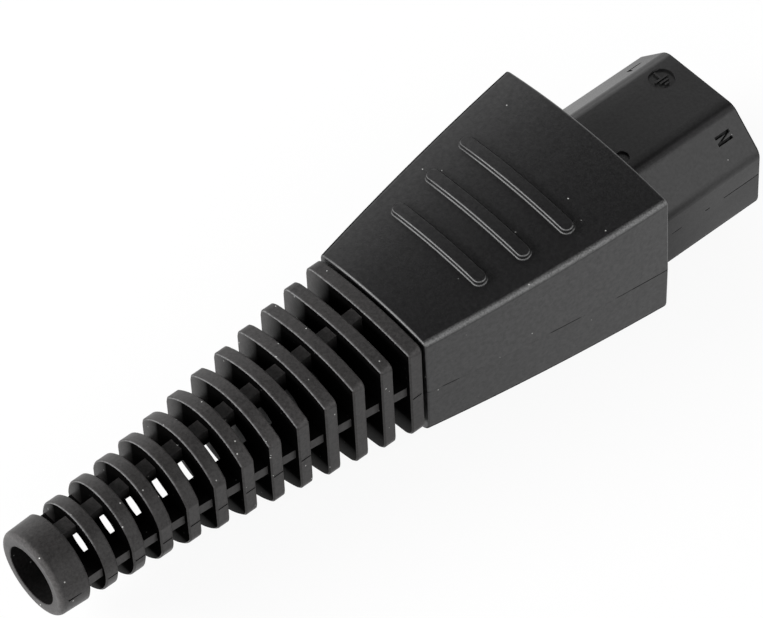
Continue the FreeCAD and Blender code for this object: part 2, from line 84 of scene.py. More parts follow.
# Strokes of the earth symbol: middle, foot, width and height as shares of its disc's radius. Then the depth
# of their middle and half their thickness, as shares of the disc's depth
EARTH_STROKES = (
    (0.0, 0.12, 0.16, 0.68), (0.0, -0.04, 1.2, 0.16), (0.0, -0.34, 0.78, 0.16), (0.0, -0.64, 0.36, 0.16)
)
EARTH_SUNK = 0.6
EARTH_HALF = 0.55

# Terminal letters: width, stroke and the slant of the N, as shares of their height
LETTER_WIDTH = 0.56
LETTER_STROKE = 0.17
LETTER_SLANT = 0.34

# The ribs' width and height grow as these powers of the way to the body
WIDTH_POWER = 1.5
HEIGHT_POWER = 0.6

# A rib's section in the solid: its corners, its rims, and the crown of its top beside the body
CORNER_R = 1.9 * MM
RIB_EDGE = 0.22 * MM
CROWN_BODY = 0.9 * MM
CROWN_POWER = 1.4

# Mould seams: spans along X in mm, and the ribs without a seam, counted from the body. On a rib the seam
# ends short of the rims, reaches into the wall, and is rounded by a share of its section
NOSE_SEAM = ((4.5, 6.2), (10.6, 11.4), (14.0, 20.4))
RING_SEAM = (-93.6, -91.5)
SEAMLESS_RIBS = (1, 2, 3)
SEAM_INSET = 0.25 * MM
SEAM_SINK = 0.06 * MM
SEAM_ROUND = 0.4

# Joint between the shells: where flash fills it, and where it is open and how plainly it shows, along X in mm
PARTING_Z = -1.35 * MM
JOINT_GAP = 0.08 * MM
JOINT_LINE = 0.14 * MM
JOINT_FADE = 0.4
JOINT_OPEN = ((-35.3, -33.1, 0.6), (-18.7, -14.5, 0.7), (-8.3, -6.6, 0.5), (-5.8, -0.3, 1.0))
FLASH_SPANS = ((-37.2, -35.4), (-33.0, -19.0), (-14.3, -8.4))

# The flash lies this far inside the walls, is this deep, and half of it takes this share of the gap
FLASH_INSET = 0.004 * MM
FLASH_DEPTH = 0.3 * MM
FLASH_HALF = 0.48

# Spans over which a mask sets in: start, end and, where they aren't 0 and 1, the values there. An edge is told
# by the product of two parts of the surface's direction, which is up to 0.5 on an edge and 0 on most faces
RIGHT_EDGE = (-0.21, -0.47)
REAR_EDGE = (-0.24, -0.46)
FRONT_EDGE = (0.06, 0.25)
LEFT_EDGE = (0.24, 0.42)
RIM_EDGE = (-0.28, -0.44)

# Spans of the upward part of that direction: the edges below the walls, where shade is painted, and the
# underside, which is spared
LOW_EDGE = (-0.04, -0.30)
UNDERSIDE = (-0.56, -0.72)

# Shells: painted sheen by the slope of the walls, places where the painted highlight on the rear edges grows
# faint and where the front edge keeps its light, and sheen of the mottle and painted sheen along the body
WALL = (0.03, 0.20, 0.90, 1.0)
LOWER_WALL = (0.012, -0.012, 1.0, 0.82)
FAINT_Y = (5.0 * MM, 9.5 * MM, 1.0, 0.35)
FRONT_X = (-1.5 * MM, -0.8 * MM)
SHELL_MOTTLE = (0.45, 0.62)
SHELL_ALONG = (SHELL_LOW.x, SHELL_HIGH.x, 0.98, 1.12)

# Nose: spans of direction for its side walls, left corner face, level top, corner faces, front edges, front
# face, and both ends of an upper fold
SIDE_WALL = (0.80, 0.95)
LEFT_CORNER = (0.40, 0.49)
LEVEL_TOP = (0.93, 0.99)
CORNER_FACE = (0.46, 0.49)
TIP_EDGE = (0.06, 0.35)
TIP_FACE = (0.97, 0.99)
FOLD_START = (0.22, 0.36)
FOLD_END = (0.80, 0.72, 1.0, 0.0)

# Nose: painted shade at its tip, a painted fade of sheen along its left corner, the places on its top beside
# the left and right fold for painted sheen, the mottle, and the depth that tells a letter's floor, which gets
# painted shade
TIP_SHADE = 0.12
CORNER_FADE = (0.25 * NOSE_HIGH.x, NOSE_HIGH.x, -0.30, 0.65)
LIFT_Y = (0.3 * CORNER_TOP_Y, CORNER_TOP_Y)
FALL_Y = (-0.68 * CORNER_TOP_Y, -0.85 * CORNER_TOP_Y)
NOSE_MOTTLE = (0.92, 1.08)
LETTER_FLOOR = (0.2 * MM, 0.4 * MM)

# Sleeve, in shares of a rib's half width and height: its outside, the light on the left and low ends of the
# ribs' faces, the shade on side bridges, the place of upper bridges, and the flare whose corners are lit
OUTSIDE = (0.35, 0.80)
LEFT_END = (0.52, 1.0, 0.0, 1.16)
LOW_END = (-0.42, -1.0, 0.0, 0.26)
SIDE_BRIDGE = (0.45, 0.30, 0.0, 0.9)
TOP_BRIDGE = (0.30, 0.45)
BRIDGE_REACH = (0.80, 0.86, 1.0, 0.0)
CORNER_FLARE = (0.35, 0.60)

# Sleeve: spans of direction for the ribs' faces, the bridges' tops and the ring's rear edge, the light from
# which there is sheen, and the most light that a colour takes
RIB_FACE = (0.80, 0.95)
BRIDGE_TOP = (0.90, 0.98)
RING_EDGE = (-0.10, -0.60)
SHEEN_FROM = 0.05
MOST_LIGHT = 4.0

# Plastic: the span that noise mostly fills, broad flow, the size of clouds in grains, pale pepper, the grain of
# painted highlights on edges and rims, specks of dust, and the spread of roughness
NOISE = (0.3, 0.7)
FLOW_SIZE = 9 * MM
FLOW_STRETCH = (0.45, 1.0, 1.0)
FLOW_TONE = (0.80, 1.20)
CLOUD_GRAINS = 2.5
PEPPER = (0.45, 0.75, 0.0, 0.35)
PEPPER_TONE = 1.9
EDGE_HIGHLIGHT_GRAIN = (0.32, 0.62, 0.40, 1.0)
RIM_HIGHLIGHT_GRAIN = (0.35, 0.60, 0.45, 1.0)
SPECK_RADIUS = 0.13 * MM
SPECK_CORE = 0.6
DUST_TONE = (0.40, 0.40, 0.39)
PLASTIC_ROUGHNESS = (-0.05, 0.07)

# Metal: fine streaks and their tone, broad tarnish and its tone, and the spread of roughness
STREAK_SIZE = 0.4 * MM
STREAK_DEPTH = 0.004 * MM
STREAK_TONE = (0.86, 1.06)
TARNISH_SIZE = 3 * MM
TARNISH = (0.5, 0.8, 0.0, 0.6)
TARNISH_TONE = 0.62
METAL_ROUGHNESS = (-0.06, 0.10)

# Strength of bumps, by how far the upward part of a face's direction is from one half
BUMP_FACES = (0.40, 0.48, 0.1, 1.0)

# Stage: the gap below the body, the lamps, the room's upward direction and the heights over which its light
# fades, and the camera
FLOOR_GAP = 0.02 * MM
LAMP_AIM = Vector((-35, 0, 0)) * MM
LAMP_DISTANCE = 0.9
LEFT_WAY = Vector((-0.75, 0.50, 0.38))
LEFT_SIZE = (0.7, 0.2)
RIGHT_WAY = Vector((0.40, -0.74, 0.48))
RIGHT_SIZE = (0.5, 0.3)
ROOM_UP = (0.0, 0.05, 0.999)
ROOM_FADE = (0.525, 0.835)
CAMERA_PLACE = Vector((-275.755, -304.424, 469.675)) * MM
CAMERA_RIGHT = Vector((0.759134, -0.650026, -0.034364))
CAMERA_UP = Vector((0.516535, 0.569430, 0.639485))


def tone(default, description, name="Colour"):
    """A colour that a user may change."""
    return FloatVectorProperty(
        name=name, description=description, subtype="COLOR", size=3, min=0, max=1, default=default
    )


def length(millimetres, name, description):
    """A size that a user may change, given here in millimetres."""
    return FloatProperty(
        name=name, description=description, unit="LENGTH", min=0, precision=5, default=millimetres * MM
    )


def share(default, name, description):
    """A value from 0 to 1 that a user may change."""
    return FloatProperty(
        name=name, description=description, subtype="FACTOR", min=0, max=1, default=default
    )


def amount(default, name, description):
    """A plain number that a user may change."""
    return FloatProperty(name=name, description=description, default=default)


class HousingSettings(bpy.types.PropertyGroup):
    colour: tone((0.0086, 0.0084, 0.0087), "Black of the two shells")
    roughness: share(0.33, "Roughness", "Satin of the shells")
    grain: length(0.24, "Grain", "Width of one grain of the spark-eroded texture")
    grain_depth: length(0.011, "Grain depth", "Height of the grain")
    # Painted highlight, grainy, along the right top edge
    right_highlight: tone((0.142, 0.142, 0.142), "Rubbed plastic along the right top edge", "Wear")
    # Painted highlight on edges that face the cord's end
    bright: tone((0.145, 0.145, 0.145), "Polished edges that face the cord's end", "Bright edges")
    joint_shade: share(0.35, "Joint shade", "Share of the light left beside the open parts of the joint")
    edge_light: share(0.40, "Edge light", "Share of the light left on edges that face forward, left or down")


class NoseSettings(bpy.types.PropertyGroup):
    colour: tone((0.0090, 0.0088, 0.0090), "Black of the contact carrier")
    roughness: share(0.33, "Roughness", "Satin of the carrier")
    sheen: share(0.44, "Sheen", "Strength of the carrier's reflections")
    edge_light: share(0.50, "Edge light", "Share of the light left on the front and lower edges")
    shade: share(0.75, "Shade", "Share of the side walls' sheen lost next to the body")
    fold_light: amount(0.7, "Fold", "Light added on the top beside its left fold")
    fold_shade: share(0.50, "Fold shade", "Sheen taken off the top beside its right fold")
    right_fold: amount(2.6, "Right fold", "Lightness of the right upper fold")
    left_fold: amount(0.75, "Left fold", "Lightness of the left upper fold")
    shade_length: length(13.0, "Shade length", "Reach of the shade from the body's front face")
    fold_radius: length(2.4, "Folds", "Radius of the long folds beside the corner faces")
    letter_height: length(2.6, "Letter height", "Height of the terminal letters")
    letter_depth: length(0.5, "Letter depth", "Depth of the terminal letters")
    letter_shade: share(0.3, "Letter shade", "Share of the light left on the floor of the letters")
    letter_x: length(16.85, "Letter place", "Middle of the letters, from the body's front face")
    letter_drop: length(3.0, "Letter drop", "Middle of the letters, down the corner face from its upper edge")
    mark_radius: length(1.15, "Ejector mark", "Radius of the round ejector mark on the top")
    mark_depth: length(0.30, "Ejector mark depth", "Depth of the round mark")
    earth_radius: length(1.85, "Earth mark", "Radius of the sunk disc that holds the earth symbol")
    earth_depth: length(0.30, "Earth mark depth", "Depth of the disc; the symbol stands level with the top")
    seam_drop: length(1.4, "Seam height", "Depth of the mould seam below the nose's middle")
    seam: length(0.15, "Seam", "Width of the mould seam")


class SleeveSettings(bpy.types.PropertyGroup):
    colour: tone((0.0290, 0.0277, 0.0275), "Black of the flexible sleeve")
    roughness: share(0.38, "Roughness", "Matte of the sleeve")
    sheen: share(0.15, "Sheen", "Strength of the sleeve's reflections")
    shade: share(0.06, "Shade", "Share of the colour left deep between the ribs")
    bridge_light: amount(0.6, "Bridges", "Light added on top of the upper bridges")
    ring_light: amount(0.75, "Ring", "Light added on the ring's rear edge")
    # Painted highlight on a fine line along the ribs' rear rims, and the width of that line
    rim_highlight: tone((0.13, 0.13, 0.13), "Rubbed edges of the ribs", "Rims")
    rim_width: length(0.15, "Rim width", "Width of the rubbed line along a rib's edge")
    # The ribs' seam is drawn near black, far darker than the rubber
    seam_tone: tone((0.003, 0.003, 0.003), "Mould seam on the ribs", "Seam tone")
    ribs: IntProperty(name="Ribs", description="Number of ribs", min=1, default=12)
    pitch: length(4.32, "Rib pitch", "Distance from rib to rib")
    rib: length(2.0, "Rib thickness", "Thickness of one rib along the cord")
    base: length(39.25, "Base rib", "Middle of the rib next to the body, behind its front face")
    end_radius: length(6.65, "End radius", "Radius of the round rib at the cord's end")
    half_width: length(10.5, "Half width", "Half the width of the rib next to the body")
    half_height: length(9.35, "Half height", "Half the height of the rib next to the body")
    corner_rear: length(0.5, "Corners, rear", "Radius of the ribs' right top corners on the cord's side")
    corner_front: length(1.2, "Corners, front", "Radius of the ribs' right top corners on the body's side")
    corner_light: share(0.8, "Corner light", "Light added on the ribs' right top corners")
    seam: length(0.15, "Seam", "Width of the mould seam")
    seam_drop: length(0.5, "Seam height", "Depth of the ribs' seam below the cord's middle")
    seam_rise: length(0.05, "Seam rise", "How far the seam stands proud")


class MetalSettings(bpy.types.PropertyGroup):
    brass: tone((0.72, 0.50, 0.22), "Brass of the contacts", "Brass")
    cage: tone((0.66, 0.60, 0.48), "Tinned brass of the terminal cages", "Cage")
    zinc: tone((0.58, 0.58, 0.56), "Zinc-plated steel of the screws", "Zinc")


class ClampSettings(bpy.types.PropertyGroup):
    colour: tone((0.030, 0.030, 0.031), "Glass-filled nylon of the cord clamp")
    roughness: share(0.55, "Roughness", "Matte of the clamp")


class StageSettings(bpy.types.PropertyGroup):
    floor: tone((0.90, 0.90, 0.90), "Pale floor", "Floor")
    glow: share(0.92, "Floor white", "Share of plain white in the floor as the camera sees it")
    horizon: amount(1.45, "Horizon", "Light of the room at the horizon")
    ceiling: amount(0.04, "Ceiling", "Light of the room overhead")
    left_box: amount(11.0, "Left strip", "Power of the left lamp")
    right_box: amount(0.35, "Right panel", "Power of the right lamp")
    lens: amount(218.74, "Lens", "Focal length in millimetres")


class ConnectorSettings(bpy.types.PropertyGroup):
    housing: PointerProperty(type=HousingSettings)
    nose: PointerProperty(type=NoseSettings)
    sleeve: PointerProperty(type=SleeveSettings)
    metal: PointerProperty(type=MetalSettings)
    clamp: PointerProperty(type=ClampSettings)
    stage: PointerProperty(type=StageSettings)


class Nodes:
    """Adds nodes to one tree and links them."""

    def __init__(self, tree):
        self.tree = tree

    def add(self, kind, **settings):
        """One node with its settings."""
        made = self.tree.nodes.new(kind)
        for key, value in settings.items():
            setattr(made, key, value)
        return made

    def join(self, source, target):
        """Links an output to an input."""
        self.tree.links.new(source, target)

    def feed(self, target, value):
        """Links an output to an input, or writes a plain value there."""
        if isinstance(value, bpy.types.NodeSocket):
            self.join(value, target)
        else:
            target.default_value = value

    def math(self, operation, *values):
        """One sum on sockets or plain numbers."""
        made = self.add("ShaderNodeMath", operation=operation)
        for target, value in zip(made.inputs, values):
            self.feed(target, value)
        return made.outputs[0]

    def product(self, first, *others):
        """All the values multiplied."""
        for other in others:
            first = self.math("MULTIPLY", first, other)
        return first

    def ranged(self, value, start, end, low=0.0, high=1.0, interpolation="LINEAR"):
        """Low up to start, high from end on, and a ramp between them."""
        made = self.add("ShaderNodeMapRange", interpolation_type=interpolation)
        for name, number in (("From Min", start), ("From Max", end), ("To Min", low), ("To Max", high)):
            made.inputs[name].default_value = number
        self.join(value, made.inputs["Value"])
        return made.outputs["Result"]


class Finish(Nodes):
    """A node material laid on Object coordinates, so that its pattern stays on the piece."""

    def __init__(self, name, roughness, metallic=0.0):
        self.material = bpy.data.materials.new(name)
        self.material.use_nodes = True
        super().__init__(self.material.node_tree)
        self.shader = self.tree.nodes["Principled BSDF"]
        self.shader.inputs["Roughness"].default_value = roughness
        self.shader.inputs["Metallic"].default_value = metallic
        self.place = self.add("ShaderNodeTexCoord").outputs["Object"]
        self.normal = None

    def drawn_out(self, scale):
        """Object coordinates scaled per axis, for flow, brushed and turned surfaces."""
        mapping = self.add("ShaderNodeMapping")
        mapping.inputs["Scale"].default_value = scale
        self.join(self.place, mapping.inputs["Vector"])
        return mapping.outputs["Vector"]

    def noise(self, size, detail, place=None):
        """Noise with features of a size."""
        made = self.add("ShaderNodeTexNoise")
        made.inputs["Scale"].default_value = 1 / size
        made.inputs["Detail"].default_value = detail
        self.join(place or self.place, made.inputs["Vector"])
        return made.outputs["Fac"]

    def specks(self, spacing, radius):
        """1 inside sparse round specks, 0 elsewhere."""
        cells = self.add("ShaderNodeTexVoronoi")
        cells.inputs["Scale"].default_value = 1 / spacing
        self.join(self.place, cells.inputs["Vector"])
        edge = radius / spacing
        return self.ranged(cells.outputs["Distance"], edge * SPECK_CORE, edge, 1.0, 0.0)

    def axes(self, vector):
        """The X, Y and Z of a vector."""
        split = self.add("ShaderNodeSeparateXYZ")
        self.join(vector, split.inputs["Vector"])
        return split.outputs["X"], split.outputs["Y"], split.outputs["Z"]

    def facing(self):
        """The X, Y and Z of the surface's own direction."""
        return self.axes(self.add("ShaderNodeTexCoord").outputs["Normal"])

    def right_edge(self):
        """1 on the edge between the top and the right side, 0 on the faces beside it."""
        _, y, z = self.facing()
        return self.ranged(self.product(y, z), *RIGHT_EDGE)

    def rear_edges(self):
        """Mask of a painted highlight: 1 on edges between the top and a face towards the cord's end, less on
        the left; 0 on faces.
        """
        x, _, z = self.facing()
        faint = self.ranged(self.axes(self.place)[1], *FAINT_Y)
        return self.product(self.ranged(self.product(x, z), *REAR_EDGE), faint)

    def shaded_edges(self, least):
        """1 on faces and the body's front edge, and least on other edges that face forward, left or down:
        painted shade.
        """
        x, y, z = self.facing()
        forward = self.ranged(self.product(x, z), *FRONT_EDGE, 1.0, least)
        front = self.ranged(self.axes(self.place)[0], *FRONT_X)
        left = self.ranged(self.product(y, z), *LEFT_EDGE, 1.0, least)
        return self.product(self.math("MAXIMUM", forward, front), left, self.low_edges(least))

    def low_edges(self, least):
        """1 on upright faces and the underside, and least halfway round the edges between them, for painted
        shade.
        """
        upward = self.facing()[2]
        rounded = self.ranged(upward, *LOW_EDGE, 1.0, least)
        return self.math("MAXIMUM", rounded, self.ranged(upward, *UNDERSIDE))

    def open_joint(self):
        """1 in a fine line beside the open parts of the joint between the shells."""
        x, _, z = self.axes(self.place)
        away = self.math("ABSOLUTE", self.math("SUBTRACT", z, PARTING_Z))
        line = self.ranged(away, JOINT_LINE / 2, JOINT_LINE, 1.0, 0.0)
        parts = 0.0
        for start, end, depth in JOINT_OPEN:
            begun = self.ranged(x, (start - JOINT_FADE) * MM, start * MM, 0.0, depth)
            ended = self.ranged(x, end * MM, (end + JOINT_FADE) * MM, 1.0, 0.0)
            parts = self.math("ADD", self.product(begun, ended), parts)
        return self.product(line, parts)

    def shell_sheen(self, cloud):
        """Sheen of the shells: a little mottled, and with painted light and shade less on the walls, least on
        the lower walls, more towards the front and none on edges that face forward, left or down.
        """
        upward = self.facing()[2]
        wall = self.ranged(upward, *WALL)
        lower = self.ranged(upward, *LOWER_WALL)
        mottled = self.ranged(cloud, *NOISE, *SHELL_MOTTLE)
        along = self.ranged(self.axes(self.place)[0], *SHELL_ALONG)
        return self.product(mottled, along, wall, lower, self.shaded_edges(0.0))

    def nose_sheen(self, s, cloud):
        """Sheen of the carrier, with painted light and shade: less on its side walls towards the body, on its
        left corner in front and beside its right fold, more beside its left fold, none on its front and lower
        edges."""
        _, y, z = self.facing()
        x, across, _ = self.axes(self.place)
        side = self.ranged(self.math("ABSOLUTE", y), *SIDE_WALL)
        near = self.ranged(x, 0.0, s.shade_length, s.shade, TIP_SHADE)
        shaded = self.math("SUBTRACT", 1.0, self.product(side, near))
        corner = self.ranged(self.product(y, z), *LEFT_CORNER)
        far = self.ranged(x, *CORNER_FADE)
        faded = self.math("SUBTRACT", 1.0, self.product(corner, far))
        beside = self.ranged(across, *LIFT_Y)
        lift = self.product(beside, beside, s.fold_light)
        fall = self.ranged(across, *FALL_Y, 0.0, s.fold_shade)
        level = self.ranged(z, *LEVEL_TOP)
        lifted = self.math("ADD", 1.0, self.product(level, self.math("SUBTRACT", lift, fall)))
        mottled = self.ranged(cloud, *NOISE, *scaled(NOSE_MOTTLE, s.sheen))
        marks = self.product(self.upper_fold(1, s.left_fold), self.sunk_letters(s.letter_shade))
        return self.product(mottled, faded, lifted, marks, shaded, self.edges_lit(0.0))

    def upper_fold(self, side, lightness):
        """Lightness on the rounded fold above one corner face, 1 elsewhere."""
        _, y, z = self.facing()
        turned = self.ranged(y, *scaled(FOLD_START, side))
        fold = self.product(turned, self.ranged(z, *FOLD_END))
        return self.ranged(fold, 0.0, 1.0, 1.0, lightness)

    def sunk_letters(self, least):
        """Least on the floors of the letters, which lie below the corner faces, for painted shade there, and 1
        elsewhere.
        """
        _, y, z = self.facing()
        _, across, up = self.axes(self.place)
        height = self.math("ADD", self.math("ABSOLUTE", across), up)
        sunk = self.math("SUBTRACT", CORNER_TOP_Y + NOSE_TOP, height)
        floor = self.ranged(sunk, *LETTER_FLOOR)
        slope = self.ranged(self.product(self.math("ABSOLUTE", y), z), *CORNER_FACE)
        return self.ranged(self.product(floor, slope), 0.0, 1.0, 1.0, least)

    def edges_lit(self, least):
        """1 on the carrier's faces, and least on its rounded front and lower edges, for painted shade there."""
        x = self.facing()[0]
        front = self.ranged(x, *TIP_EDGE, 1.0, least)
        return self.product(self.math("MAXIMUM", front, self.ranged(x, *TIP_FACE)), self.low_edges(least))

    def rear_rims(self, s):
        """Mask of a painted highlight: 1 on a fine line along the upper edge of each rib, on its face towards
        the cord's end.
        """
        x, _, z = self.facing()
        edge = self.ranged(self.product(x, z), *RIM_EDGE)
        place = self.axes(self.place)[0]
        start = -s.base - s.pitch * (s.ribs - 1) - s.rib / 2
        step = self.math("MODULO", self.math("SUBTRACT", place, start), s.pitch)
        line = self.ranged(step, s.rim_width / 2, s.rim_width, 1.0, 0.0)
        ribs = self.ranged(place, start - s.rib, start - s.rib / 2)
        return self.product(edge, line, ribs)

    def rib_light(self, s):
        """1 on the outside of the sleeve and less between the ribs, where their ends and the upper bridges
        stay light; more on the ring's rear edge and the ribs' right top corners."""
        x, y, z = self.axes(self.place)
        first = -s.base - s.pitch * (s.ribs - 1)
        flare = self.ranged(x, first, -s.base)
        wide = self.ranged(self.math("POWER", flare, WIDTH_POWER), 0.0, 1.0, s.end_radius, s.half_width)
        high = self.ranged(self.math("POWER", flare, HEIGHT_POWER), 0.0, 1.0, s.end_radius, s.half_height)
        across = self.math("DIVIDE", y, wide)
        up = self.math("DIVIDE", self.math("SUBTRACT", z, CORD_Z), high)
        reach = self.math("ADD", self.product(across, across), self.product(up, up))
        outer = self.ranged(reach, *OUTSIDE)
        left = self.ranged(across, *LEFT_END)
        low = self.ranged(up, *LOW_END)
        lengthwise, _, upward = self.facing()
        inside = self.ranged(x, first - s.pitch, first - s.pitch / 2)
        flat = self.ranged(self.math("ABSOLUTE", lengthwise), *RIB_FACE)
        level = self.ranged(upward, *BRIDGE_TOP)
        walls = self.product(flat, self.math("SUBTRACT", outer, self.math("MAXIMUM", left, low)))
        shelves = self.product(level, self.ranged(up, *SIDE_BRIDGE), outer)
        hidden = self.product(inside, self.math("ADD", walls, shelves))
        upper = self.ranged(up, *TOP_BRIDGE, 0.0, s.bridge_light)
        bridges = self.product(level, upper, self.ranged(reach, *BRIDGE_REACH), inside, outer)
        edge = self.ranged(lengthwise, *RING_EDGE, 0.0, s.ring_light)
        ring = self.product(edge, self.math("SUBTRACT", 1.0, inside))
        corners = self.product(self.right_edge(), self.ranged(flare, *CORNER_FLARE, 0.0, s.corner_light))
        lifted = self.math("ADD", bridges, self.math("ADD", ring, corners))
        return self.math("ADD", self.math("SUBTRACT", outer, hidden), lifted)

    def mixed(self, factor, low, high):
        """Colour low where factor is 0, high where it is 1; either may be a socket."""
        made = self.add("ShaderNodeMix", data_type="RGBA")
        self.join(factor, made.inputs[0])
        for target, value in ((made.inputs[6], low), (made.inputs[7], high)):
            self.feed(target, value if isinstance(value, bpy.types.NodeSocket) else (*value, 1.0))
        return made.outputs[2]

    def dimmed(self, colour, factor):
        """The colour times a factor."""
        made = self.add("ShaderNodeVectorMath", operation="SCALE")
        self.join(colour, made.inputs["Vector"])
        self.join(factor, made.inputs["Scale"])
        return made.outputs["Vector"]

    def relief(self, height, depth):
        """Bumps on level and upright faces, faint on slopes and rounded edges."""
        made = self.add("ShaderNodeBump")
        made.inputs["Distance"].default_value = depth
        upward = self.math("ABSOLUTE", self.facing()[2])
        level = self.math("ABSOLUTE", self.math("SUBTRACT", upward, 0.5))
        self.join(self.ranged(level, *BUMP_FACES), made.inputs["Strength"])
        self.join(height, made.inputs["Height"])
        if self.normal:
            self.join(self.normal, made.inputs["Normal"])
        self.normal = made.outputs["Normal"]

    def done(self, colour, roughness):
        """The material with its colour, roughness and bumps linked."""
        self.join(colour, self.shader.inputs["Base Color"])
        self.join(roughness, self.shader.inputs["Roughness"])
        if self.normal:
            self.join(self.normal, self.shader.inputs["Normal"])
        return self.material


def scaled(values, factor):
    """Each value times a factor."""
    return tuple(value * factor for value in values)


def spread(value, offsets):
    """The value with each offset added."""
    return tuple(value + offset for offset in offsets)


def moulded(
    name, colour, roughness, grain, depth, dust_spacing, shell=None, nose=None, sleeve=None, mottle=0.1
):
    """Moulded plastic: mottled black with fine grain, broad flow and dust, and the painted light and shade of
    its own part.
    """
    finish = Finish(name, roughness)
    fine = finish.noise(grain, detail=3.0)
    flow = finish.noise(FLOW_SIZE, detail=2.0, place=finish.drawn_out(FLOW_STRETCH))
    cloud = finish.noise(CLOUD_GRAINS * grain, detail=3.0)
    flowing = finish.mixed(flow, *(scaled(colour, factor) for factor in FLOW_TONE))
    black = finish.dimmed(flowing, finish.ranged(cloud, *NOISE, 1 - mottle, 1 + mottle))
    pepper = finish.ranged(fine, *PEPPER)
    colour_and_light = finish.mixed(pepper, black, scaled(colour, PEPPER_TONE))
    if shell:
        # Painted highlight, grainy, along the right top edge
        grainy_highlight = finish.product(finish.right_edge(), finish.ranged(fine, *EDGE_HIGHLIGHT_GRAIN))
        colour_and_light = finish.mixed(grainy_highlight, colour_and_light, shell.right_highlight)
        # Painted highlight on edges that face the cord's end
        colour_and_light = finish.mixed(finish.rear_edges(), colour_and_light, shell.bright)
    colour_and_light = finish.mixed(finish.specks(dust_spacing, SPECK_RADIUS), colour_and_light, DUST_TONE)
    sheen = None
    if shell:
        beside = finish.ranged(finish.open_joint(), 0.0, 1.0, 1.0, shell.joint_shade)
        # Painted shade on edges that face forward, left or down
        colour_and_light = finish.dimmed(colour_and_light, finish.product(beside, finish.shaded_edges(shell.edge_light)))
        sheen = finish.product(finish.shell_sheen(cloud), beside)
    if nose:
        # Painted light and shade on the upper folds, the letters' floors and the front and lower edges
        folds = finish.product(finish.upper_fold(-1, nose.right_fold), finish.upper_fold(1, nose.left_fold))
        marks = finish.product(folds, finish.sunk_letters(nose.letter_shade))
        colour_and_light = finish.dimmed(colour_and_light, finish.product(marks, finish.edges_lit(nose.edge_light)))
        sheen = finish.nose_sheen(nose, cloud)
    if sleeve:
        light = finish.rib_light(sleeve)
        # Painted highlight on the ribs' rims, and painted light and shade over the ribs
        patchy = finish.ranged(cloud, *RIM_HIGHLIGHT_GRAIN)
        colour_and_light = finish.mixed(finish.product(finish.rear_rims(sleeve), patchy), colour_and_light, sleeve.rim_highlight)
        colour_and_light = finish.dimmed(colour_and_light, finish.ranged(light, 0.0, MOST_LIGHT, sleeve.shade, MOST_LIGHT))
        sheen = finish.ranged(light, SHEEN_FROM, 1.0, 0.0, sleeve.sheen)
    if sheen:
        finish.join(sheen, finish.shader.inputs["Specular IOR Level"])
    finish.relief(fine, depth)
    finish.relief(flow, depth * 2)
    return finish.done(colour_and_light, finish.ranged(fine, *NOISE, *spread(roughness, PLASTIC_ROUGHNESS)))


def sheet_metal(name, colour, roughness, brush):
    """Rolled or turned metal: streaks along brush, tarnish in broad patches."""
    finish = Finish(name, roughness, metallic=1.0)
    streaks = finish.noise(STREAK_SIZE, detail=4.0, place=finish.drawn_out(brush))
    patches = finish.noise(TARNISH_SIZE, detail=3.0)
    bright = finish.mixed(streaks, *(scaled(colour, factor) for factor in STREAK_TONE))
    dull = finish.ranged(patches, *TARNISH)
    tarnished = finish.mixed(dull, bright, scaled(colour, TARNISH_TONE))
    finish.relief(streaks, STREAK_DEPTH)
    return finish.done(tarnished, finish.ranged(patches, *NOISE, *spread(roughness, METAL_ROUGHNESS)))


def paint(material, *nodes):
    """Gives CAD nodes a finish through their material slots."""
    for name in nodes:
        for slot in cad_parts[name].material_slots:
            slot.material = material


def as_mesh(name, bm):
    """Writes a bmesh to a new mesh."""
    mesh = bpy.data.meshes.new(name)
    bm.to_mesh(mesh)
    bm.free()
    return mesh


def placed(name, data):
    """Links new data to the scene as an object at the origin."""
    made = bpy.data.objects.new(name, data)
    bpy.context.scene.collection.objects.link(made)
    return made


def mesh_piece(name, mesh, material):
    """Puts a mesh at the origin as a piece that rides on the part."""
    piece = placed(name, mesh)
    mesh.materials.clear()
    mesh.materials.append(material)
    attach(piece, BODY)
    return piece


def soft_shaded(piece, angle):
    """Smooth shading up to an angle, with the large flat faces kept flat."""
    mesh = piece.data
    mesh.shade_smooth()
    mesh.set_sharp_from_angle(angle=angle)
    flats = piece.modifiers.new("flat faces", "WEIGHTED_NORMAL")
    flats.keep_sharp = True


def merged_copy(node):
    """The CAD node's own mesh with its loose triangles joined."""
    bm = bmesh.new()
    bm.from_mesh(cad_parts[node].data)
    bmesh.ops.remove_doubles(bm, verts=bm.verts, dist=WELD)
    return bm


def raised_prism(bm, points, depth, turn):
    """Adds a closed prism on a flat outline, from depth below its face to depth above it."""
    corners = [bm.verts.new((x, y, -depth)) for x, y in points]
    face = bm.faces.new(corners)
    grown = bmesh.ops.extrude_face_region(bm, geom=[face])
    lifted = [item for item in grown["geom"] if isinstance(item, bmesh.types.BMVert)]
    bmesh.ops.translate(bm, verts=lifted, vec=(0, 0, 2 * depth))
    bmesh.ops.transform(bm, matrix=turn, verts=corners + lifted)


def letter_outline(letter, height):
    """N or L in plain strokes, centred, upright along +Y."""
    w, t, d = LETTER_WIDTH, LETTER_STROKE, LETTER_SLANT
    outlines = {
        "N": [
            (0, 0), (t, 0), (t, 1 - d), (w - t, 0), (w, 0),
            (w, 1), (w - t, 1), (w - t, d), (t, 1), (0, 1),
        ],
        "L": [(0, 0), (w, 0), (w, t), (t, t), (t, 1), (0, 1)],
    }
    return [((x - w / 2) * height, (y - 0.5) * height) for x, y in outlines[letter]]


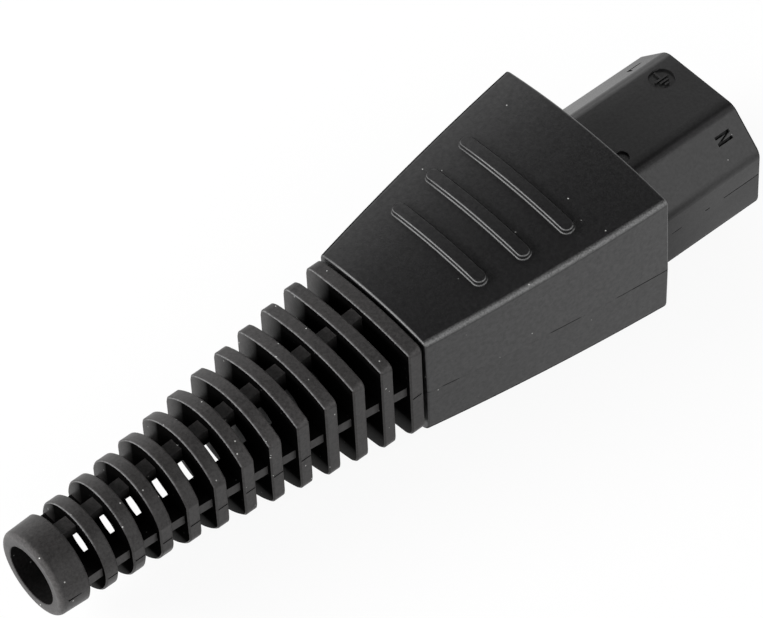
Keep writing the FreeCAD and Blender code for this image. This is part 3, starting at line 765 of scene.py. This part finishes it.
def corner_frame(side, x, drop):
    """Turns letter space to the nose's corner face on one side, letters upright along +X."""
    slope = math.sqrt(0.5)
    up = Vector((1, 0, 0))
    normal = Vector((0, side * slope, slope))
    down = Vector((0, side * slope, -slope))
    place = Vector((x, side * CORNER_TOP_Y, NOSE_TOP)) + down * drop
    turn = Matrix((up.cross(normal), up, normal)).transposed().to_4x4()
    return Matrix.Translation(place) @ turn


def on_top(place, depth=0.0):
    """Moves a mark to its place on the nose's top, or to a depth below it."""
    x, y = place
    return Matrix.Translation((x * MM, y * MM, NOSE_TOP - depth))


def fold_arcs(radius):
    """Middles and turns of the two arcs beside a corner face, seen along the nose."""
    lead = radius * math.tan(math.pi / 8)
    return (
        (Vector((CORNER_TOP_Y - lead, NOSE_TOP - radius)), math.pi / 4, math.pi / 2),
        (Vector((NOSE_HALF_W - radius, CORNER_FOOT_Z - lead)), 0, math.pi / 4),
    )


def widen_folds(bm, radius):
    """Rounds the nose's upper long folds to a larger radius."""
    slack = TOUCH / FOLD_R
    for (tight, start, end), (wide, _, _) in zip(fold_arcs(FOLD_R), fold_arcs(radius)):
        for vert in bm.verts:
            arm = Vector((abs(vert.co.y), vert.co.z)) - tight
            depth = FOLD_R - arm.length
            turn = math.atan2(arm.y, arm.x)
            if -TOUCH < depth < TIP_R + TOUCH and start - slack < turn < end + slack:
                place = wide + arm.normalized() * (radius - depth)
                vert.co.y = math.copysign(place.x, vert.co.y)
                vert.co.z = place.y


def groove(bm, start, end, y, z, width):
    """Adds a box that cuts a groove along X into a side wall at y."""
    made = bmesh.ops.create_cube(bm, size=1.0)
    size = Matrix.Diagonal((end - start, 4 * width, width, 1.0))
    place = Matrix.Translation(((start + end) / 2, y, z))
    bmesh.ops.transform(bm, matrix=place @ size, verts=made["verts"])


def sunk_marks(s):
    """What is cut out of the nose: letters, ejector mark, the earth symbol's disc and the broken seam."""
    bm = bmesh.new()
    for letter, side in (("L", 1), ("N", -1)):
        outline = letter_outline(letter, s.letter_height)
        raised_prism(bm, outline, s.letter_depth, corner_frame(side, s.letter_x, s.letter_drop))
    discs = ((EJECTOR_PLACE, s.mark_radius, s.mark_depth), (EARTH_PLACE, s.earth_radius, s.earth_depth))
    for place, radius, depth in discs:
        size = {"radius1": radius, "radius2": radius, "depth": 2 * depth}
        bmesh.ops.create_cone(bm, cap_ends=True, segments=48, matrix=on_top(place), **size)
    for side in SIDES:
        for start, end in NOSE_SEAM:
            groove(bm, start * MM, end * MM, side * NOSE_HALF_W, -s.seam_drop, s.seam)
    bmesh.ops.recalc_face_normals(bm, faces=bm.faces)
    return bm


def earth_strokes(s):
    """The earth symbol, standing in its disc."""
    bm = bmesh.new()
    sunk = on_top(EARTH_PLACE, s.earth_depth * EARTH_SUNK)
    for middle, foot, width, height in EARTH_STROKES:
        left, right, head = middle - width / 2, middle + width / 2, foot + height
        corners = ((left, foot), (right, foot), (right, head), (left, head))
        outline = [scaled(corner, s.earth_radius) for corner in corners]
        raised_prism(bm, outline, s.earth_depth * EARTH_HALF, sunk)
    bmesh.ops.recalc_face_normals(bm, faces=bm.faces)
    return bm


def cut_away(piece, cutter):
    """Cuts the cutter out of the piece and removes the cutter."""
    cut = piece.modifiers.new("marks", "BOOLEAN")
    cut.operation = "DIFFERENCE"
    cut.solver = "EXACT"
    cut.object = cutter
    depsgraph = bpy.context.evaluated_depsgraph_get()
    mesh = bpy.data.meshes.new_from_object(piece.evaluated_get(depsgraph))
    piece.modifiers.remove(cut)
    piece.data = mesh
    bpy.data.objects.remove(cutter)


def joint_flash(bm, walls, start, end, side):
    """A strip of moulding flash that fills the joint between the shells, just inside their walls."""
    count = max(2, round((end - start) / MM))
    inward = Vector((0, -side, 0))
    outer = []
    for index in range(count + 1):
        x = start + (end - start) * index / count
        heights = [PARTING_Z + way * JOINT_GAP for way in SIDES]
        hits = [wall.ray_cast(Vector((x, side, z)), inward)[0] for wall, z in zip(walls, heights)]
        outer.append((x, side * (min(abs(hit.y) for hit in hits) - FLASH_INSET)))
    inner = [(x, y - side * FLASH_DEPTH) for x, y in reversed(outer)]
    raised_prism(bm, outer + inner, FLASH_HALF * JOINT_GAP, Matrix.Translation((0, 0, PARTING_Z)))


def ridge(bm, span, y, z, width, rise):
    """A low rounded ridge along X on a side wall at y, sunk a little into the wall."""
    out = 1 if y > 0 else -1
    made = bmesh.ops.create_cube(bm, size=1.0)
    size = Matrix.Diagonal((span[1] - span[0], SEAM_SINK + rise, width, 1.0))
    place = Matrix.Translation(((span[0] + span[1]) / 2, y + out * (rise - SEAM_SINK) / 2, z))
    bmesh.ops.transform(bm, matrix=place @ size, verts=made["verts"])
    edges = {edge for vert in made["verts"] for edge in vert.link_edges}
    proud = [e for e in edges if all(abs(v.co.y) > abs(y) for v in e.verts)]
    rounding = min(width, rise) * SEAM_ROUND
    bmesh.ops.bevel(bm, geom=proud, offset=rounding, affect="EDGES", segments=2, profile=0.5, material=-1)


def rib_corner(wide, high, crown, radius):
    """Middle and turn of the arc between a rib's flat side and its crowned top."""
    bow = (wide * wide + crown * crown) / (2 * crown)
    rise = math.sqrt((bow - radius) ** 2 - (wide - radius) ** 2)
    return Vector((wide - radius, high - bow + rise)), math.atan2(rise, wide - radius)


def tighten_corners(mesh, s):
    """Draws the right top corner of every rib that isn't round out to its own radius."""
    slack = TOUCH / CORNER_R
    for index in range(s.ribs):
        way = 1 - index / (s.ribs - 1)
        middle = -s.base - s.pitch * index
        wide = s.end_radius + (s.half_width - s.end_radius) * way ** WIDTH_POWER
        high = s.end_radius + (s.half_height - s.end_radius) * way ** HEIGHT_POWER
        crown = CROWN_BODY + (s.end_radius - CROWN_BODY) * (1 - way) ** CROWN_POWER
        if crown > wide - TOUCH:
            continue
        wide_arc, wide_turn = rib_corner(wide, high, crown, CORNER_R)
        for vert in mesh.vertices:
            if abs(vert.co.x - middle) > s.pitch / 3:
                continue
            arm = Vector((-vert.co.y, vert.co.z - CORD_Z)) - wide_arc
            depth = CORNER_R - arm.length
            turn = math.atan2(arm.y, arm.x)
            if -TOUCH < depth < RIB_EDGE + TOUCH and -slack < turn < wide_turn + slack:
                front = min(max((vert.co.x - middle) / s.rib + 0.5, 0), 1)
                radius = s.corner_rear + (s.corner_front - s.corner_rear) * front
                tight_arc, tight_turn = rib_corner(wide, high, crown, radius)
                turn *= tight_turn / wide_turn
                place = tight_arc + (radius - depth) * Vector((math.cos(turn), math.sin(turn)))
                vert.co.y, vert.co.z = -place.x, CORD_Z + place.y


class CONNECTOR_OT_housing(bpy.types.Operator):
    """Finish of the two shells and the flash in their joint"""

    bl_idname = "connector.housing"
    bl_label = "Housing shells"

    def execute(self, context):
        s = context.scene.connector.housing
        shells = ("upper_shell", "lower_shell")
        black = moulded(
            "shell_satin", s.colour, s.roughness, s.grain, s.grain_depth, dust_spacing=3.2 * MM, shell=s
        )
        paint(black, *shells)
        graph = context.evaluated_depsgraph_get()
        walls = [BVHTree.FromObject(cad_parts[name], graph) for name in shells]
        flash = bmesh.new()
        for start, end in FLASH_SPANS:
            for side in SIDES:
                joint_flash(flash, walls, start * MM, end * MM, side)
        bmesh.ops.recalc_face_normals(flash, faces=flash.faces)
        mesh_piece("joint_flash", as_mesh("joint_flash", flash), black)
        return {"FINISHED"}


class CONNECTOR_OT_nose(bpy.types.Operator):
    """Contact carrier with rounder folds, terminal letters, earth symbol, ejector mark and mould seam"""

    bl_idname = "connector.nose"
    bl_label = "Contact carrier"

    def execute(self, context):
        s = context.scene.connector.nose
        grain, depth = 0.18 * MM, 0.006 * MM
        black = moulded("carrier_satin", s.colour, s.roughness, grain, depth, dust_spacing=3.6 * MM, nose=s)
        solid = merged_copy("contact_carrier")
        widen_folds(solid, s.fold_radius)
        everything = [*solid.verts, *solid.edges, *solid.faces]
        bmesh.ops.bisect_plane(solid, geom=everything, plane_co=(NOSE_ROOT_X, 0, 0), plane_no=(1, 0, 0))
        nose = mesh_piece("nose_block", as_mesh("nose_block", solid), black)
        cut_away(nose, placed("marks", as_mesh("marks", sunk_marks(s))))
        soft_shaded(nose, angle=math.radians(32))
        mesh_piece("earth_symbol", as_mesh("earth_symbol", earth_strokes(s)), black)
        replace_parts(nose, "contact_carrier")
        return {"FINISHED"}


class CONNECTOR_OT_sleeve(bpy.types.Operator):
    """Ribbed sleeve with tight rib corners and the mould seam on its ribs and ring"""

    bl_idname = "connector.sleeve"
    bl_label = "Strain relief sleeve"

    def execute(self, context):
        s = context.scene.connector.sleeve
        grain, depth = 0.16 * MM, 0.008 * MM
        rubber = moulded(
            "sleeve_rubber", s.colour, s.roughness, grain, depth, dust_spacing=1.8 * MM, sleeve=s, mottle=0.30
        )
        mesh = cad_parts["strain_relief_sleeve"].data.copy()
        tighten_corners(mesh, s)
        sides = BVHTree.FromPolygons([v.co for v in mesh.vertices], [p.vertices for p in mesh.polygons])
        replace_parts(mesh_piece("ribbed_sleeve", mesh, rubber), "strain_relief_sleeve")
        seam = bmesh.new()
        half = s.rib / 2 - SEAM_INSET
        middles = [-s.base - s.pitch * index for index in range(s.ribs) if index not in SEAMLESS_RIBS]
        dashes = [(middle - half, middle + half, CORD_Z - s.seam_drop) for middle in middles]
        dashes.append((*scaled(RING_SEAM, MM), CORD_Z))
        for start, end, z in dashes:
            for side in SIDES:
                wall = sides.ray_cast(Vector(((start + end) / 2, side, z)), Vector((0, -side, 0)))[0]
                ridge(seam, (start, end), wall.y, z, s.seam, s.seam_rise)
        # The seam is near black, far darker than the rubber, and has little sheen
        line = Finish("sleeve_seam", roughness=0.6)
        line.shader.inputs["Base Color"].default_value = (*s.seam_tone, 1.0)
        line.shader.inputs["Specular IOR Level"].default_value = s.shade
        piece = mesh_piece("sleeve_seam", as_mesh("sleeve_seam", seam), line.material)
        soft_shaded(piece, angle=math.radians(40))
        return {"FINISHED"}


class CONNECTOR_OT_contacts(bpy.types.Operator):
    """Spring sockets and terminal cages"""

    bl_idname = "connector.contacts"
    bl_label = "Contacts and terminals"

    def execute(self, context):
        s = context.scene.connector.metal
        brass = sheet_metal("contact_brass", s.brass, roughness=0.28, brush=(0.05, 1.0, 1.0))
        paint(brass, "line_contact", "neutral_contact", "earth_contact")
        tin = sheet_metal("cage_tin", s.cage, roughness=0.36, brush=(1.0, 1.0, 0.06))
        paint(tin, "line_terminal", "neutral_terminal", "earth_terminal")
        return {"FINISHED"}


class CONNECTOR_OT_screws(bpy.types.Operator):
    """Terminal, clamp and housing screws"""

    bl_idname = "connector.screws"
    bl_label = "Screws"

    def execute(self, context):
        s = context.scene.connector.metal
        zinc = sheet_metal("screw_zinc", s.zinc, roughness=0.32, brush=(1.0, 1.0, 0.2))
        paint(zinc, "terminal_screws", "cord_clamp_screws", "housing_screws")
        return {"FINISHED"}


class CONNECTOR_OT_cord_clamp(bpy.types.Operator):
    """Saddle that holds the cord"""

    bl_idname = "connector.cord_clamp"
    bl_label = "Cord clamp"

    def execute(self, context):
        s = context.scene.connector.clamp
        grain, depth = 0.3 * MM, 0.012 * MM
        nylon = moulded("clamp_nylon", s.colour, s.roughness, grain, depth, dust_spacing=4 * MM)
        paint(nylon, "cord_clamp")
        return {"FINISHED"}


def softbox(name, direction, size, power):
    """A flat lamp that looks at the connector from a direction."""
    lamp = bpy.data.lights.new(name, "AREA")
    lamp.shape = "RECTANGLE"
    lamp.size, lamp.size_y = size
    lamp.energy = power
    holder = placed(name, lamp)
    way = direction.normalized()
    turn = way.to_track_quat("Z", "Y").to_matrix().to_4x4()
    holder.matrix_world = Matrix.Translation(LAMP_AIM + way * LAMP_DISTANCE) @ turn
    return holder


def floor_material(settings):
    """Pale floor that shows white to the camera and in reflections, with a faint shadow kept."""
    material = bpy.data.materials.new("stage_floor")
    material.use_nodes = True
    nodes = Nodes(material.node_tree)
    nodes.tree.nodes.clear()
    matt = nodes.add("ShaderNodeBsdfDiffuse")
    matt.inputs["Color"].default_value = (*settings.floor, 1.0)
    white = nodes.add("ShaderNodeEmission")
    rays = nodes.add("ShaderNodeLightPath").outputs
    seen = nodes.math("MAXIMUM", rays["Is Camera Ray"], rays["Is Glossy Ray"])
    through = nodes.math("MAXIMUM", seen, rays["Is Transmission Ray"])
    mix = nodes.add("ShaderNodeMixShader")
    nodes.join(nodes.product(through, settings.glow), mix.inputs["Fac"])
    nodes.join(matt.outputs["BSDF"], mix.inputs[1])
    nodes.join(white.outputs["Emission"], mix.inputs[2])
    nodes.join(mix.outputs["Shader"], nodes.add("ShaderNodeOutputMaterial").inputs["Surface"])
    return material


def room_light(settings):
    """World light that is bright at the horizon and dim overhead."""
    world = bpy.data.worlds.new("studio")
    bpy.context.scene.world = world
    world.use_nodes = True
    nodes = Nodes(world.node_tree)
    background = nodes.tree.nodes["Background"]
    height = nodes.add("ShaderNodeVectorMath", operation="DOT_PRODUCT")
    height.inputs[1].default_value = ROOM_UP
    nodes.join(nodes.add("ShaderNodeTexCoord").outputs["Generated"], height.inputs[0])
    light = (settings.horizon, settings.ceiling)
    fade = nodes.ranged(height.outputs["Value"], *ROOM_FADE, *light, interpolation="SMOOTHSTEP")
    nodes.join(fade, background.inputs["Strength"])
    background.inputs["Color"].default_value = (1.0, 1.0, 1.0, 1.0)


class CONNECTOR_OT_stage(bpy.types.Operator):
    """Floor, lamps, room light and camera"""

    bl_idname = "connector.stage"
    bl_label = "Studio stage"

    def execute(self, context):
        s = context.scene.connector.stage
        bm = bmesh.new()
        bmesh.ops.create_circle(bm, cap_ends=True, segments=96, radius=12.0)
        bmesh.ops.translate(bm, verts=bm.verts, vec=(0, 0, SHELL_LOW.z - FLOOR_GAP))
        floor = placed("floor", as_mesh("floor", bm))
        floor.data.materials.append(floor_material(s))
        room_light(s)
        softbox("left_strip", LEFT_WAY, LEFT_SIZE, s.left_box).visible_glossy = False
        softbox("right_panel", RIGHT_WAY, RIGHT_SIZE, s.right_box)
        camera = placed("camera", bpy.data.cameras.new("camera"))
        camera.data.lens = s.lens
        camera.data.sensor_fit = "HORIZONTAL"
        camera.data.clip_start = 0.05
        back = CAMERA_RIGHT.cross(CAMERA_UP)
        turn = Matrix((CAMERA_RIGHT, CAMERA_UP, back)).transposed().to_4x4()
        camera.matrix_world = Matrix.Translation(CAMERA_PLACE) @ turn
        context.scene.camera = camera
        context.scene.view_settings.view_transform = "Standard"
        return {"FINISHED"}


OPERATORS = (
    CONNECTOR_OT_housing,
    CONNECTOR_OT_nose,
    CONNECTOR_OT_sleeve,
    CONNECTOR_OT_contacts,
    CONNECTOR_OT_screws,
    CONNECTOR_OT_cord_clamp,
    CONNECTOR_OT_stage,
)


class CONNECTOR_PT_panel(bpy.types.Panel):
    """Every step of the connector and its settings"""

    bl_idname = "CONNECTOR_PT_panel"
    bl_label = "Connector"
    bl_space_type = "VIEW_3D"
    bl_region_type = "UI"
    bl_category = "Connector"

    def draw(self, context):
        for operator in OPERATORS:
            self.layout.operator(operator.bl_idname)
        for group in context.scene.connector.bl_rna.properties:
            if group.type == "POINTER" and group.identifier != "rna_type":
                settings = getattr(context.scene.connector, group.identifier)
                box = self.layout.box()
                for item in settings.bl_rna.properties:
                    if item.identifier not in {"rna_type", "name"}:
                        box.prop(settings, item.identifier)


CLASSES = (
    HousingSettings,
    NoseSettings,
    SleeveSettings,
    MetalSettings,
    ClampSettings,
    StageSettings,
    ConnectorSettings,
    *OPERATORS,
    CONNECTOR_PT_panel,
)


def register():
    """Adds the classes and the scene's settings."""
    for cls in CLASSES:
        bpy.utils.register_class(cls)
    bpy.types.Scene.connector = PointerProperty(type=ConnectorSettings)


def unregister():
    """Removes them."""
    del bpy.types.Scene.connector
    for cls in reversed(CLASSES):
        bpy.utils.unregister_class(cls)


def main():
    register()
    bpy.ops.connector.housing()
    bpy.ops.connector.nose()
    bpy.ops.connector.sleeve()
    bpy.ops.connector.contacts()
    bpy.ops.connector.screws()
    bpy.ops.connector.cord_clamp()
    bpy.ops.connector.stage()


if __name__ == "__main__":
    main()
